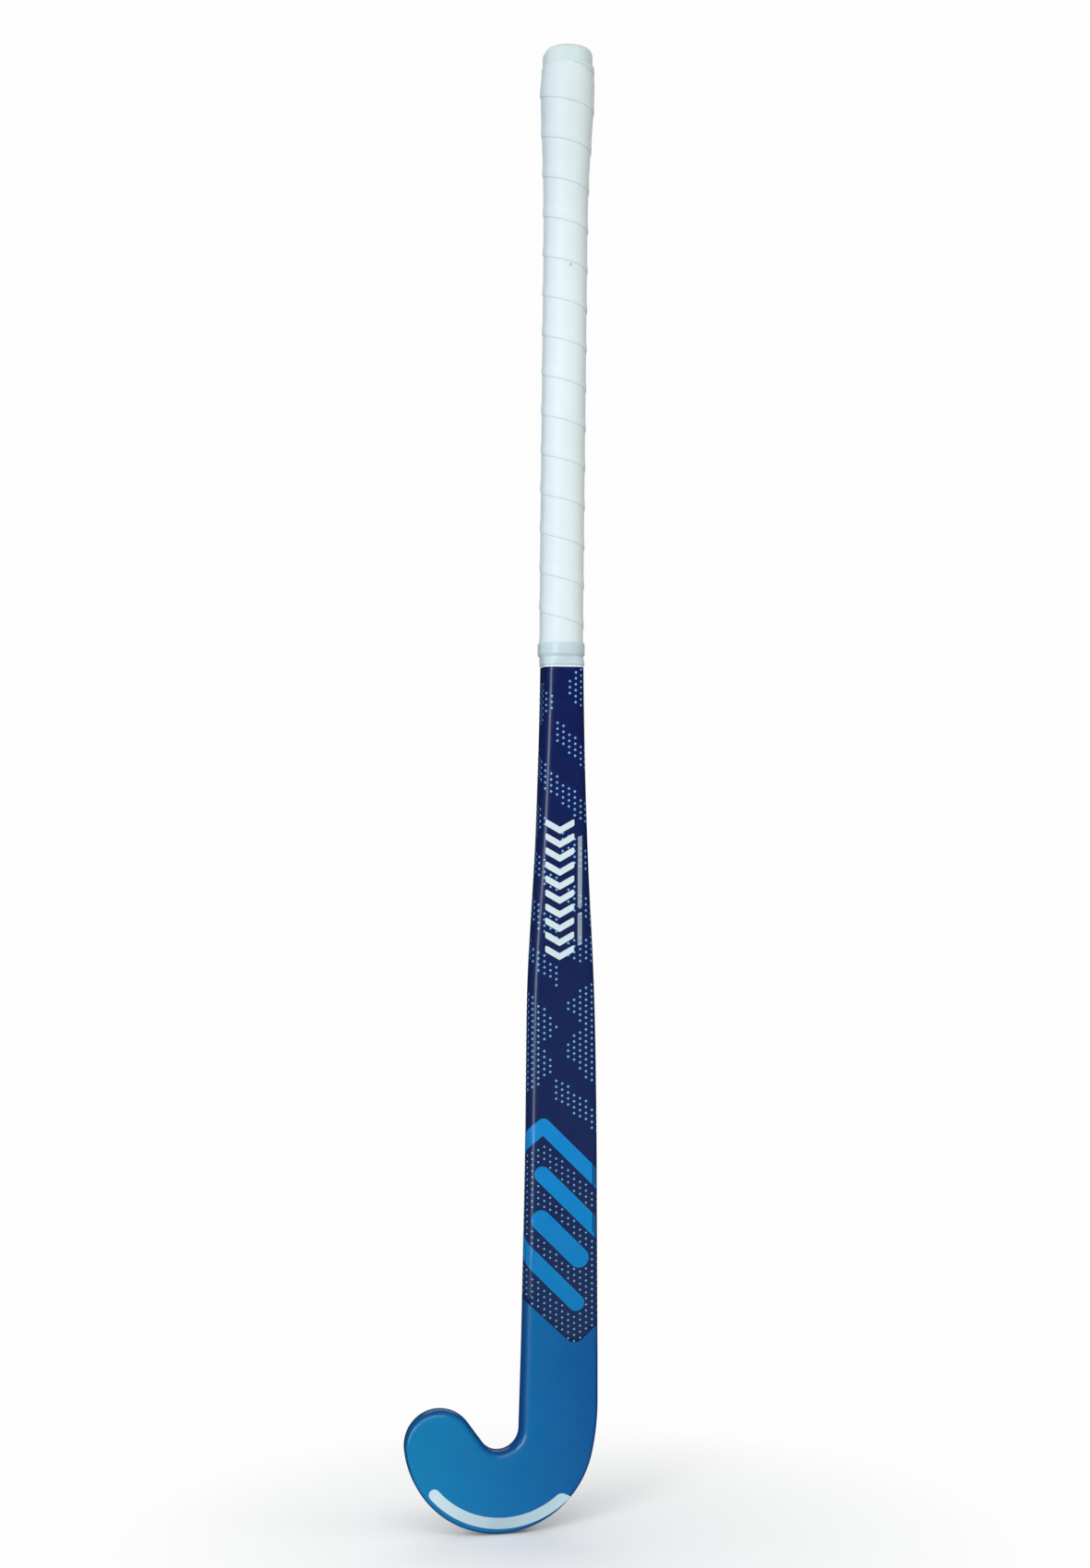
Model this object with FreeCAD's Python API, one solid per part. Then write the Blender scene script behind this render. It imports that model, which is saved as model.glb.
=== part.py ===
import FreeCAD, Part
import functools
import math
import os

# Field hockey stick, right-handed, 36.5 inch, in millimetres.
# +Z runs up the handle, the flat playing face looks towards -Y and the toe points to -X.
# Heights in this file are measured from the bottom of the hook, and lateral sizes from the shaft's axis.
# At the end everything moves so that the origin lies in the middle of the upper hand's grip.

V = FreeCAD.Vector

# Overall
STICK_LENGTH = 927.0
GRIP_HEIGHT = 850.0

# Bow: the handle leans towards the playing face above a long gentle bend
BOW_START = 380.0
BOW_END = 640.0
BOW_SLOPE = 0.053

# Hook, followed from the toe side of the shaft round the toe and the bottom to the heel
HOOK_TOP = 110.0
HOOK_DEPTH = 21.0
FACE_RADIUS = 3.4
BACK_RADIUS = 13.5
SHAFT_TOE_SIDE = 25.7
SHAFT_HEEL_SIDE = 22.4
SHAFT_FLARE_DEG = 1.8
THROAT_HEIGHT = 63.08
THROAT_RADIUS = 12.8
THROAT_TURN_DEG = 142.0
TOE_SLOPE_LENGTH = 16.0
TOE_RADIUS = 22.0
TOE_TURN_DEG = 150.0
BOTTOM_RADIUS = 59.94
BOTTOM_TURN_DEG = 161.0
HEEL_RADIUS = 150.0

# Handle under the grip
HANDLE_HALF = 12.45
HANDLE_DEPTH = 29.6
HANDLE_CORNER = 11.9
HANDLE_END = 916.0

# Shaft: height, toe-side and heel-side half widths, depth, face and back corner radii
SHAFT = [
    (HOOK_TOP, SHAFT_TOE_SIDE, SHAFT_HEEL_SIDE, HOOK_DEPTH, FACE_RADIUS, BACK_RADIUS),
    (128.0, 25.2, 22.3, HOOK_DEPTH, FACE_RADIUS, BACK_RADIUS),
    (184.0, 23.9, 22.1, HOOK_DEPTH, FACE_RADIUS, BACK_RADIUS),
    (242.0, 22.7, 21.9, 21.2, 3.6, 13.4),
    (299.0, 22.1, 21.3, 21.7, 4.2, 13.2),
    (340.0, 21.3, 20.3, 22.3, 5.0, 13.0),
    (380.0, 19.0, 18.6, 23.0, 6.2, 12.8),
    (425.0, 16.0, 16.3, 24.1, 7.6, 12.4),
    (471.0, 14.3, 14.5, 25.5, 9.4, 12.1),
    (520.0, 12.9, 13.1, 27.4, 11.0, 12.0),
    (560.0, HANDLE_HALF, HANDLE_HALF, 29.0, HANDLE_CORNER, HANDLE_CORNER),
    (620.0, HANDLE_HALF, HANDLE_HALF, HANDLE_DEPTH, HANDLE_CORNER, HANDLE_CORNER),
    (800.0, HANDLE_HALF, HANDLE_HALF, HANDLE_DEPTH, HANDLE_CORNER, HANDLE_CORNER),
]
FLARE = [
    (835.0, 12.8, 12.7, 30.2, 12.1, 12.1),
    (865.0, 13.8, 14.1, 32.6, 13.2, 13.2),
    (890.0, 15.1, 15.8, 34.8, 14.5, 14.5),
    (HANDLE_END, 15.1, 15.8, 34.8, 14.5, 14.5),
]
BORE_TOP = [(STICK_LENGTH, HANDLE_HALF, HANDLE_HALF, HANDLE_DEPTH, HANDLE_CORNER, HANDLE_CORNER)]
SECTION_SPACING = 26.0

# Layers and fits
FILM = 0.05
SKIN_WALL = 1.4
TUBE_WALL = 1.2
TUBE_SPLIT = -0.6
TUBE_TOP = 888.0
WRAP_WALL = 1.0
WRAP_TOP = 100.0

# Butt cap and plug
NECK_START = 903.0
NECK_INSET = 1.9
CAP_WALL = 1.2
CAP_EDGE_RADIUS = 5.5
PLUG_LENGTH = 26.0
SOCKET_RADIUS = 4.0
SOCKET_DEPTH = 12.0
STEM_GAP = 1.0

# Grip and its finishing band
TAPE_THICKNESS = 1.2
TAPE_BOTTOM = 546.0
TAPE_TOP = 914.0
BAND_THICKNESS = 0.6
BAND_TOP = 554.0
BAND_STEP = 545.4
BAND_BOTTOM = 540.0

# Label along the bottom of the playing face, let into the skin
LABEL_DEPTH = 0.3
LABEL_EDGE_GAP = 3.5
LABEL_WIDTH = 6.8
LABEL_TOE_END_DEG = 217.0
LABEL_HEEL_END_DEG = 313.5
BOTTOM_ARC = 4

# Cutting blocks reach past the stick on every side
BLOCK_SIDE = 400.0
OVERSHOOT = 1.0
CLOSE_ENOUGH = 1e-3


def bow(height):
    """How far back the middle of the section lies at a height."""
    if height <= BOW_START:
        return 0.0
    if height <= BOW_END:
        return -BOW_SLOPE * (height - BOW_START) ** 2 / (2 * (BOW_END - BOW_START))
    return bow(BOW_END) - BOW_SLOPE * (height - BOW_END)


def section(station, inset=0.0):
    """Closed outline with rounded corners, level, at one station of the shaft."""
    height, toe, heel, depth, face_radius, back_radius = station
    left = -toe + inset
    right = heel - inset
    face = bow(height) - depth / 2 + inset
    back = bow(height) + depth / 2 - inset
    corners = [
        (right, face, -1, 1, face_radius - inset),
        (right, back, -1, -1, back_radius - inset),
        (left, back, 1, -1, back_radius - inset),
        (left, face, 1, 1, face_radius - inset),
    ]
    arcs = [corner_arc(height, *corner) for corner in corners]
    edges = []
    for k, arc in enumerate(arcs):
        following = arcs[(k + 1) % 4]
        edges.append(arc)
        edges.append(Part.LineSegment(arc.EndPoint, following.StartPoint))
    return Part.Wire([edge.toShape() for edge in edges])


def corner_arc(height, x, y, in_x, in_y, radius):
    """Quarter circle that rounds the corner at x, y, run counter-clockwise seen from above."""
    centre = V(x + in_x * radius, y + in_y * radius, height)
    side = centre + V(-in_x * radius, 0, 0)
    end = centre + V(0, -in_y * radius, 0)
    middle = centre + V(-in_x, -in_y, 0) * (radius * math.sqrt(0.5))
    if in_x * in_y < 0:
        return Part.Arc(end, middle, side)
    return Part.Arc(side, middle, end)


def heading_vector(degrees):
    return V(math.cos(math.radians(degrees)), 0, math.sin(math.radians(degrees)))


def tangent_arc(start, heading, radius, turn):
    """Arc in the XZ plane that leaves start along heading. A positive turn is to the left."""
    side = math.copysign(90, turn)
    centre = start + heading_vector(heading + side) * radius
    middle = centre + heading_vector(heading + turn / 2 - side) * radius
    end = centre + heading_vector(heading + turn - side) * radius
    return Part.Arc(start, middle, end)


def hook_edges(inset=0.0):
    """Open outline of the hook from its toe-side top corner to its heel-side top corner.

    The material lies to the left all along, so an inset outline has smaller convex
    arcs and a larger throat arc about the same centres.
    """
    heading = -90.0 - SHAFT_FLARE_DEG
    direction = heading_vector(heading)
    corner = V(-SHAFT_TOE_SIDE, 0, HOOK_TOP) + heading_vector(heading + 90) * inset
    start = corner + direction * ((HOOK_TOP - corner.z) / direction.z)
    point = corner + direction * ((THROAT_HEIGHT - HOOK_TOP) / direction.z)
    edges = [Part.LineSegment(start, point)]

    throat = tangent_arc(point, heading, THROAT_RADIUS + inset, -THROAT_TURN_DEG)
    edges.append(throat)
    heading -= THROAT_TURN_DEG
    point = throat.EndPoint + heading_vector(heading) * TOE_SLOPE_LENGTH
    edges.append(Part.LineSegment(throat.EndPoint, point))

    heel_turn = 90.0 - heading - TOE_TURN_DEG - BOTTOM_TURN_DEG
    rounds = [
        (TOE_RADIUS, TOE_TURN_DEG),
        (BOTTOM_RADIUS, BOTTOM_TURN_DEG),
        (HEEL_RADIUS, heel_turn),
    ]
    for radius, turn in rounds:
        arc = tangent_arc(point, heading, radius - inset, turn)
        edges.append(arc)
        heading += turn
        point = arc.EndPoint
    edges.append(Part.LineSegment(point, V(point.x, 0, HOOK_TOP)))
    return edges


def hook_body(inset=0.0):
    """The hook as one solid with rounded face and back edges, cut level at its top."""
    edges = hook_edges(inset)
    edges.append(Part.LineSegment(edges[-1].EndPoint, edges[0].StartPoint))
    outline = Part.Wire([edge.toShape() for edge in edges])
    plate = Part.Face(outline).extrude(V(0, HOOK_DEPTH - 2 * inset, 0))
    plate.translate(V(0, -HOOK_DEPTH / 2 + inset, 0))
    face_y = -HOOK_DEPTH / 2 + inset
    plate = plate.makeFillet(FACE_RADIUS - inset, rim_edges(plate, face_y))
    return plate.makeFillet(BACK_RADIUS - inset, rim_edges(plate, -face_y))


def rim_edges(solid, y):
    """The edges that lie in the plane at y, apart from the level cut at the top."""
    chosen = []
    for edge in solid.Edges:
        box = edge.BoundBox
        flat = abs(box.YMin - y) < CLOSE_ENOUGH and abs(box.YMax - y) < CLOSE_ENOUGH
        if flat and box.ZMin < HOOK_TOP - CLOSE_ENOUGH:
            chosen.append(edge)
    return chosen


def top_wire(solid):
    """Outline of the highest level face."""
    return max(solid.Faces, key=lambda face: face.BoundBox.ZMin).OuterWire


def rising(stations, k):
    """Change per millimetre of height between station k and the next."""
    low, high = stations[k], stations[k + 1]
    return [(b - a) / (high[0] - low[0]) for a, b in zip(low, high)]


def slopes_at(stations, k):
    """Slopes at station k that never make a size overshoot between stations."""
    if k == 0:
        return rising(stations, 0)
    if k == len(stations) - 1:
        return rising(stations, k - 1)
    pairs = zip(rising(stations, k - 1), rising(stations, k))
    return [2 * a * b / (a + b) if a * b > 0 else 0.0 for a, b in pairs]


def station_at(stations, height):
    """The sizes at any height, on smooth curves through the stations."""
    k = max(i for i in range(len(stations) - 1) if stations[i][0] <= height)
    low, high = stations[k], stations[k + 1]
    span = high[0] - low[0]
    t = (height - low[0]) / span
    near, far = slopes_at(stations, k), slopes_at(stations, k + 1)
    rise = t * t * (3 - 2 * t)
    leave, arrive = t * (1 - t) ** 2 * span, t * t * (t - 1) * span
    sizes = zip(low, high, near, far)
    return (height, *[a + (b - a) * rise + m * leave + n * arrive for a, b, m, n in sizes][1:])


@functools.lru_cache
def stick_body(flared, inset=0.0):
    """The whole stick at an inset: the hook, and the shaft lofted up from its top."""
    stations = SHAFT + (FLARE if flared else BORE_TOP)
    hook = hook_body(inset)
    length = stations[-1][0] - HOOK_TOP
    count = round(length / SECTION_SPACING)
    wires = [top_wire(hook)]
    for k in range(1, count + 1):
        wires.append(section(station_at(stations, HOOK_TOP + length * k / count), inset))
    return hook.fuse(Part.makeLoft(wires, True, False))


def slab(low, high):
    """Everything between two heights."""
    return Part.makeBox(BLOCK_SIDE, BLOCK_SIDE, high - low, V(-BLOCK_SIDE / 2, -BLOCK_SIDE / 2, low))


def between(solid, low, high):
    return solid.common(slab(low, high))


def neck_station(height):
    """Section of the reduced handle end that the cap slips over."""
    _, toe, heel, depth, face_radius, back_radius = FLARE[-1]
    reduced = [size - NECK_INSET for size in (toe, heel)]
    radii = [radius - NECK_INSET for radius in (face_radius, back_radius)]
    return (height, *reduced, depth - 2 * NECK_INSET, *radii)


def neck_prism(low, high, outset=0.0):
    """The neck's section grown by outset, leaning with the handle between two heights."""
    wires = [section(neck_station(height), -outset) for height in (low, high)]
    return Part.makeLoft(wires, True, True)


def label_solid(clearance=0.0):
    """Curved strip with round ends on the playing face, set in by its depth."""
    bottom = hook_edges()[BOTTOM_ARC].toShape().Curve
    outer = bottom.Radius - LABEL_EDGE_GAP + clearance
    inner = bottom.Radius - LABEL_EDGE_GAP - LABEL_WIDTH - clearance
    middle = (outer + inner) / 2
    first, last = LABEL_TOE_END_DEG, LABEL_HEEL_END_DEG
    half = (first + last) / 2
    tip = math.degrees((outer - inner) / 2 / middle)

    def at(radius, degrees):
        return bottom.Center + heading_vector(degrees) * radius

    edges = [
        Part.Arc(at(outer, first), at(outer, half), at(outer, last)),
        Part.Arc(at(outer, last), at(middle, last + tip), at(inner, last)),
        Part.Arc(at(inner, last), at(inner, half), at(inner, first)),
        Part.Arc(at(inner, first), at(middle, first - tip), at(outer, first)),
    ]
    strip = Part.Face(Part.Wire([edge.toShape() for edge in edges]))
    strip = strip.extrude(V(0, LABEL_DEPTH + clearance, 0))
    strip.translate(V(0, -HOOK_DEPTH / 2, 0))
    return strip


def outer_laminate():
    """Hollow moulded skin of the whole stick, open at the handle end."""
    outside = between(stick_body(True), -OVERSHOOT, HANDLE_END)
    inside = stick_body(False, SKIN_WALL)
    rebate = slab(NECK_START, STICK_LENGTH).cut(neck_prism(NECK_START - OVERSHOOT, STICK_LENGTH))
    return outside.cut(inside).cut(rebate).cut(label_solid(FILM))


def shaft_tube(side):
    """One of the two inner tubes. side is -1 for the toe side and 1 for the heel side."""
    outer = stick_body(False, SKIN_WALL + FILM)
    bore = stick_body(False, SKIN_WALL + FILM + TUBE_WALL)
    web = TUBE_SPLIT + side * FILM / 2
    tube = between(outer, HOOK_TOP + FILM, TUBE_TOP).common(half_space(web, side))
    return tube.cut(bore.common(half_space(web + side * TUBE_WALL, side)))


def half_space(x, side):
    """Everything on one side of an upright plane at x."""
    left = x if side > 0 else x - BLOCK_SIDE
    corner = V(left, -BLOCK_SIDE / 2, -OVERSHOOT)
    return Part.makeBox(BLOCK_SIDE, BLOCK_SIDE, STICK_LENGTH + 2 * OVERSHOOT, corner)


def impact_wrap():
    """Tough ply between the skin and the core, round the hook only."""
    outer = hook_body(SKIN_WALL + FILM)
    inner = hook_body(SKIN_WALL + FILM + WRAP_WALL)
    return between(outer.cut(inner), -OVERSHOOT, WRAP_TOP)


def hook_core():
    """Foam core that fills the hook up to the ends of the tubes."""
    wide = hook_body(SKIN_WALL + FILM)
    slim = hook_body(SKIN_WALL + 2 * FILM + WRAP_WALL)
    neck = between(wide, WRAP_TOP + FILM, HOOK_TOP)
    return between(slim, -OVERSHOOT, WRAP_TOP + FILM).fuse(neck)


def stem(low, high, radius):
    """Round upright stem in the middle of the handle's end."""
    return Part.makeCylinder(radius, high - low, V(0, bow(HANDLE_END), low))


def butt_plug():
    """Plug that closes the handle above the tubes, with a socket for the cap's stem."""
    filling = stick_body(False, SKIN_WALL + FILM)
    body = between(filling, HANDLE_END - PLUG_LENGTH, HANDLE_END)
    return body.cut(stem(HANDLE_END - SOCKET_DEPTH, HANDLE_END, SOCKET_RADIUS))


def butt_cap():
    """Domed end cap: a skirt over the handle's neck and a stem in the plug."""
    block = neck_prism(NECK_START + FILM, STICK_LENGTH, CAP_WALL)
    rim = [edge for edge in block.Edges if edge.BoundBox.ZMin > STICK_LENGTH - CLOSE_ENOUGH]
    block = block.makeFillet(CAP_EDGE_RADIUS, rim)
    hollow = neck_prism(NECK_START - OVERSHOOT, HANDLE_END + FILM, FILM)
    low = HANDLE_END - SOCKET_DEPTH + STEM_GAP
    return block.cut(hollow).fuse(stem(low, HANDLE_END + STEM_GAP, SOCKET_RADIUS - FILM))


def grip_tape():
    """Wound grip as one sleeve over the handle, from the finishing band to the cap."""
    outside = stick_body(True, -TAPE_THICKNESS)
    inside = stick_body(True, -FILM).cut(slab(NECK_START, STICK_LENGTH))
    cap_room = neck_prism(NECK_START, STICK_LENGTH, CAP_WALL + FILM)
    return between(outside, TAPE_BOTTOM, TAPE_TOP).cut(inside).cut(cap_room)


def finishing_band():
    """Stepped band that holds the lower end of the grip, half on the tape, half on the shaft."""
    upper = between(stick_body(True, -TAPE_THICKNESS - BAND_THICKNESS), BAND_STEP, BAND_TOP)
    under_upper = between(stick_body(True, -TAPE_THICKNESS - FILM), TAPE_BOTTOM - FILM, BAND_TOP)
    lower = between(stick_body(True, -BAND_THICKNESS), BAND_BOTTOM, BAND_STEP + BAND_THICKNESS)
    return upper.fuse(lower).cut(under_upper).cut(stick_body(True, -FILM))


PIECES = {
    "outer_laminate": outer_laminate,
    "toe_side_tube": lambda: shaft_tube(-1),
    "heel_side_tube": lambda: shaft_tube(1),
    "impact_wrap": impact_wrap,
    "hook_core": hook_core,
    "butt_plug": butt_plug,
    "butt_cap": butt_cap,
    "grip_tape": grip_tape,
    "finishing_band": finishing_band,
    "edge_label": label_solid,
}


def main():
    os.makedirs("parts", exist_ok=True)
    to_origin = V(0, -bow(GRIP_HEIGHT), -GRIP_HEIGHT)
    for name, make in PIECES.items():
        shape = make()
        shape.translate(to_origin)
        shape.exportStep("parts/" + name + ".step")
        print(name, len(shape.Solids), shape.isValid(), round(shape.Volume / 1000, 2), "cm3")


main()
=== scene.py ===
import math

import bmesh
import bpy
import numpy as np
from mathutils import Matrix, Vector


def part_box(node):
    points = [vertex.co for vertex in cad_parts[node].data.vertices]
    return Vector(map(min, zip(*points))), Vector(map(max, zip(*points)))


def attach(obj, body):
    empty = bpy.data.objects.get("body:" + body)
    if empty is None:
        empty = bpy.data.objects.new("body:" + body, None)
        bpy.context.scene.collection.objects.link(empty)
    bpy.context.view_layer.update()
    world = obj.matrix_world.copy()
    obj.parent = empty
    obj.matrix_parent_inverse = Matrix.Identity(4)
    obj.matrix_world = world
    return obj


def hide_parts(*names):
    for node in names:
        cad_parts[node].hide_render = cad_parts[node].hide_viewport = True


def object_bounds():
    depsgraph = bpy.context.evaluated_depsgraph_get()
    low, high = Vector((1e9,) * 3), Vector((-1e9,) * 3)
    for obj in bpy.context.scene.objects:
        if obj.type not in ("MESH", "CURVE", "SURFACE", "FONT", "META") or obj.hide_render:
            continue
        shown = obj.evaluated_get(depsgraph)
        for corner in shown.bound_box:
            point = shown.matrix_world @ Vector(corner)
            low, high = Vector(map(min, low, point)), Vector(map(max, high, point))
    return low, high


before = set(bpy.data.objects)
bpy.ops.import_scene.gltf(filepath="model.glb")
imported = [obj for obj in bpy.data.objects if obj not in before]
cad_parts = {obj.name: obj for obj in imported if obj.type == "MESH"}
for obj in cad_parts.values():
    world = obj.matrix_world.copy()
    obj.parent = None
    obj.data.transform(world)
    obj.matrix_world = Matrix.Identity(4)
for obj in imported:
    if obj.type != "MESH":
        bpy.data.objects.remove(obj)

# Field hockey stick, in metres, in the CAD frame: +Z up the handle, playing face towards -Y, toe to -X.
# Heights (h) and girths (s) below are millimetres: h from the bottom of the hook, s along the
# section's outline from the middle of the playing face, positive towards the heel.

CAD_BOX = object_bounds()
MM = 0.001
BODY = "root"
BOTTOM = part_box("outer_laminate")[0].z
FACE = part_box("edge_label")[0].y / MM

# Levels along the stick, from the frame's own pieces
TAPE_BOTTOM = (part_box("grip_tape")[0].z - BOTTOM) / MM
TAPE_TOP = (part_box("grip_tape")[1].z - BOTTOM) / MM
BAND_BOTTOM = (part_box("finishing_band")[0].z - BOTTOM) / MM
BAND_TOP = (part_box("finishing_band")[1].z - BOTTOM) / MM
CAP_BOTTOM = (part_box("butt_cap")[0].z - BOTTOM) / MM
CAP_TOP = (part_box("butt_cap")[1].z - BOTTOM) / MM
HANDLE_END = (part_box("outer_laminate")[1].z - BOTTOM) / MM
SHAFT_TOP = CAP_BOTTOM - 0.2

# Stations measured on the frame's skin
STATION_NUDGE = 0.05
SMOOTHING_PASSES = 6

# Hook outline, from the toe side of the shaft round the toe to the heel
HOOK_TOP = 110.0
HOOK_DEPTH = 21.0
BACK_RADIUS = 13.5
SHAFT_TOE_SIDE = 25.7
SHAFT_HEEL_SIDE = 22.4
SHAFT_HEADING = -91.8
THROAT_HEIGHT = 63.08
THROAT_RADIUS = 12.8
THROAT_TURN = -142.0
TOE_SLOPE = 16.0
TOE_RADIUS = 22.0
TOE_TURN = 150.0
SOLE_RADIUS = 59.94
SOLE_TURN = 161.0
HEEL_RADIUS = 150.0
FULL_UP = 90.0

# Samples along each stretch of that outline
DROP_SAMPLES = 12
THROAT_SAMPLES = 36
SLOPE_SAMPLES = 6
TOE_SAMPLES = 50
SOLE_SAMPLES = 80
HEEL_SAMPLES = 14
RISE_SAMPLES = 6

# Softness of the playing face's edge, and how it changes round the toe and along the sole
INNER_EDGE = 6.3
SHAFT_EDGE = 6.6
ROUND_EDGE = 20.0
TOE_EDGE = 2.2
OUTER_EDGE = 3.3
TOE_EDGE_RATE = 1.6
TOE_EDGE_DELAY = 0.5
SOLE_EDGE_RATE = 2.5

# Skin, and its mesh density
SKIN_WALL = 1.4
NECK_INSET = 1.9
FLAT_MARGIN = 0.4
FACE_STEPS = 10
BACK_STEPS = 12
FLAT_STEPS = 8
RING_STEP = 6.0
WELD = 2e-6
CUT_WELD = 1e-7

# Print: film over the shaft down to a blunt tip, and plates lifted off it
FILM = 0.03
TIP_S = 7.0
TIP_H = 116.5
TIP_RADIUS = 7.0
TIP_CUTS = 4
TIP_LEAN_DEG = 45 * 0.96
PRINT_LIFT = 0.05
LOW_LIFT = PRINT_LIFT + 0.02
HIGH_LIFT = PRINT_LIFT + 0.04
PLATE_DEPTH = 0.05
PLATE_SPACING = 1.5

# Halftone: lattice spacings and origin, diamond sizes, and where the dots begin and end
LATTICE_GIRTH = 3.815
LATTICE_HEIGHT = 3.73
LATTICE_S = -1.05
LATTICE_H = 473.6
LATTICE_COLUMNS = range(-20, 21)
LATTICE_ROWS = range(-102, 20)
SHAFT_DIAMOND = 0.92
EMBLEM_DIAMOND = 0.8
DIAMOND_DEPTH = 0.06
DOTS_FROM = 240.0
DOTS_RISE = 0.9
DOTS_REACH = 20
DOTS_PEAK_S = -24
DOTS_END_GAP = 1.5
FIELD_FLOOR = 117.0
FIELD_TIP = 114.8
FIELD_SLOPE = 0.94
FIELD_GAP = 1.6
BAR_GAP = 1.2

# Label near the sole: outer radius, gap under it, angles, and how its heel end runs out
LABEL_OUTER = 61.0
LABEL_GAP = 3.6
LABEL_WIDTH = 6.8
LABEL_FIRST = 221.0
LABEL_LAST = 309.0
LABEL_STEPS = 60
LABEL_END_STEPS = 10
LABEL_SHIFT = 0.8
LABEL_DEPTH = 0.1
LABEL_HEEL_END = [
    (1.8, 6.8),
    (3.6, 6.8),
    (5.3, 6.8),
    (5.0, 5.4),
    (4.4, 3.6),
    (3.4, 1.7),
    (2.0, 0.5),
    (0.9, 0.1),
]

# Bars of the emblem: start, length, half width, whether each end is round
BAR_SLOPE = 0.99
BAR_FALL = Vector((1.0, -BAR_SLOPE)).normalized()
BAR_END_STEPS = 14
BARS = [
    ((-13.8, 221.5), 56.0, 5.0, True, False),
    ((-14.5, 193.0), 34.0, 6.3, True, True),
    ((-34.0, 182.6), 58.9, 5.2, False, True),
]
# Bent bar above them: apex, upright thickness, and how far and how steeply its legs run
CROWN_APEX = (-13.0, 257.0)
CROWN_DROP = 13.0
CROWN_LEAN_DEG = 44.7
CROWN_SHIFT = 1.2
CROWN_HEEL_REACH = 42.0
CROWN_TOE_REACH = 24.0
CROWN_TOE_SLOPE = 0.80

# Dotted lobes: tip s, tip h, the side it opens to, half height
LOBES = [
    (-1.0, 526.5, 1, 12.0),
    (-7.0, 516.0, -1, 13.0),
    (-11.5, 442.5, -1, 10.0),
    (0.0, 362.0, 1, 8.0),
    (-4.5, 314.0, -1, 21.0),
    (-6.0, 290.0, -1, 19.0),
    (2.5, 326.0, 1, 17.0),
    (0.0, 298.5, 1, 28.0),
]
# Dotted stripes that fall towards the heel: first s, last s, h where s is 0, half height
STRIPES = [
    (-7.0, 24.0, 493.5, 7.4),
    (-24.0, 24.0, 459.0, 8.0),
    (-24.0, -3.0, 399.5, 8.0),
    (-4.0, 24.0, 429.0, 8.0),
    (-26.0, -2.0, 368.5, 8.0),
    (0.0, 26.0, 399.0, 8.0),
    (-28.0, -3.0, 341.0, 6.5),
    (-5.0, 30.0, 271.5, 7.4),
]
STRIPE_SLOPE = 0.86
LOBE_SLOPE = 1.05
LOBE_TIP = 2.5

# Chevrons, and the ticks beside them as (s, rise) corners
CHEVRON_COUNT = 10
CHEVRON_LOW = 355.0
CHEVRON_HIGH = 434.0
CHEVRON_S = -2.8
CHEVRON_HALF = 9.2
CHEVRON_RISE = 5.2
CHEVRON_THICK = 4.3
CHEVRON_CUT = 0.9
TICK_RUNS = [(364.0, 384.5), (388.0, 432.5)]
TICK_PITCH = 1.12
TICK = [(8.7, 0.0), (11.5, 0.9), (11.5, 1.38), (8.7, 0.48)]

# Line below the band as (height over the band's bottom, lift), and the band's step below the tape
COLLAR_LOOP = [(-1.3, -0.02), (-1.3, 0.07), (-0.1, 0.07), (-0.1, -0.02)]
COLLAR_COLUMNS = 96
BAND_COLUMNS = 128
STEP_GAP = 0.3

# Grip winding, and the strip's cross-section as (distance over its lower edge, lift)
PITCH = 24.7
TAPE_COLUMNS = 64
TAPE_SPARE = 60.0
TAPE_SPARE_TURNS = 3
TAPE_DRAW_IN = 0.75
TAPE_DRAW_FROM = 3.0
TAPE_LOOP = [
    (0.0, 0.86),
    (0.12, 1.0),
    (0.35, 1.1),
    (0.9, 1.15),
    (2.0, 1.16),
    (3.4, 1.12),
    (4.8, 1.02),
    (6.2, 0.88),
    (8.0, 0.78),
    (10.5, 0.74),
    (14.0, 0.73),
    (18.0, 0.73),
    (22.0, 0.73),
    (24.6, 0.71),
    (27.2, 0.58),
    (29.6, 0.42),
    (30.0, 0.36),
    (30.0, 0.06),
    (24.0, 0.06),
    (15.0, 0.06),
    (7.2, 0.06),
    (5.7, 0.2),
    (5.0, 0.46),
    (2.3, 0.63),
    (0.0, 0.75),
]

# End cap
CAP_COLUMNS = 96
CAP_EDGE = 5.5
CAP_EDGE_STEPS = 8
CAP_SKIRT = -0.7
CAP_WALL = 1.15
CAP_DOME = 0.5
CEILING_GAP = 0.3

# Stage, in metres
FLOOR_RADIUS = 3.0
FLOOR_GAP = 0.0005
FLOOR_FADE = (0.03, 0.28)
CAMERA_PLACE = (-0.3216, -1.4492, -0.4233)
CAMERA_AZIMUTH = 12.0
CAMERA_PITCH = 1.483
CAMERA_LENS = 54.58
CAMERA_SENSOR = 36
CAMERA_CLIP = 0.05


def heading_vector(degrees):
    """Unit vector at an angle."""
    return Vector((math.cos(math.radians(degrees)), math.sin(math.radians(degrees))))


def smoothstep(value):
    """Soft step from 0 to 1."""
    value = min(max(value, 0.0), 1.0)
    return value * value * (3 - 2 * value)


def mixed(a, b, share):
    """A value that goes softly from one to another."""
    return a + (b - a) * smoothstep(share)


def section_points(mesh, z):
    """Where the edges of a mesh cross a level."""
    ends = np.array([edge.vertices[:] for edge in mesh.edges])
    points = np.array([vertex.co[:] for vertex in mesh.vertices])
    low = points[ends[:, 0]]
    high = points[ends[:, 1]]
    crossing = (low[:, 2] - z) * (high[:, 2] - z) < 0
    low = low[crossing]
    high = high[crossing]
    share = (z - low[:, 2]) / (high[:, 2] - low[:, 2])
    return low + (high - low) * share[:, None]


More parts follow.
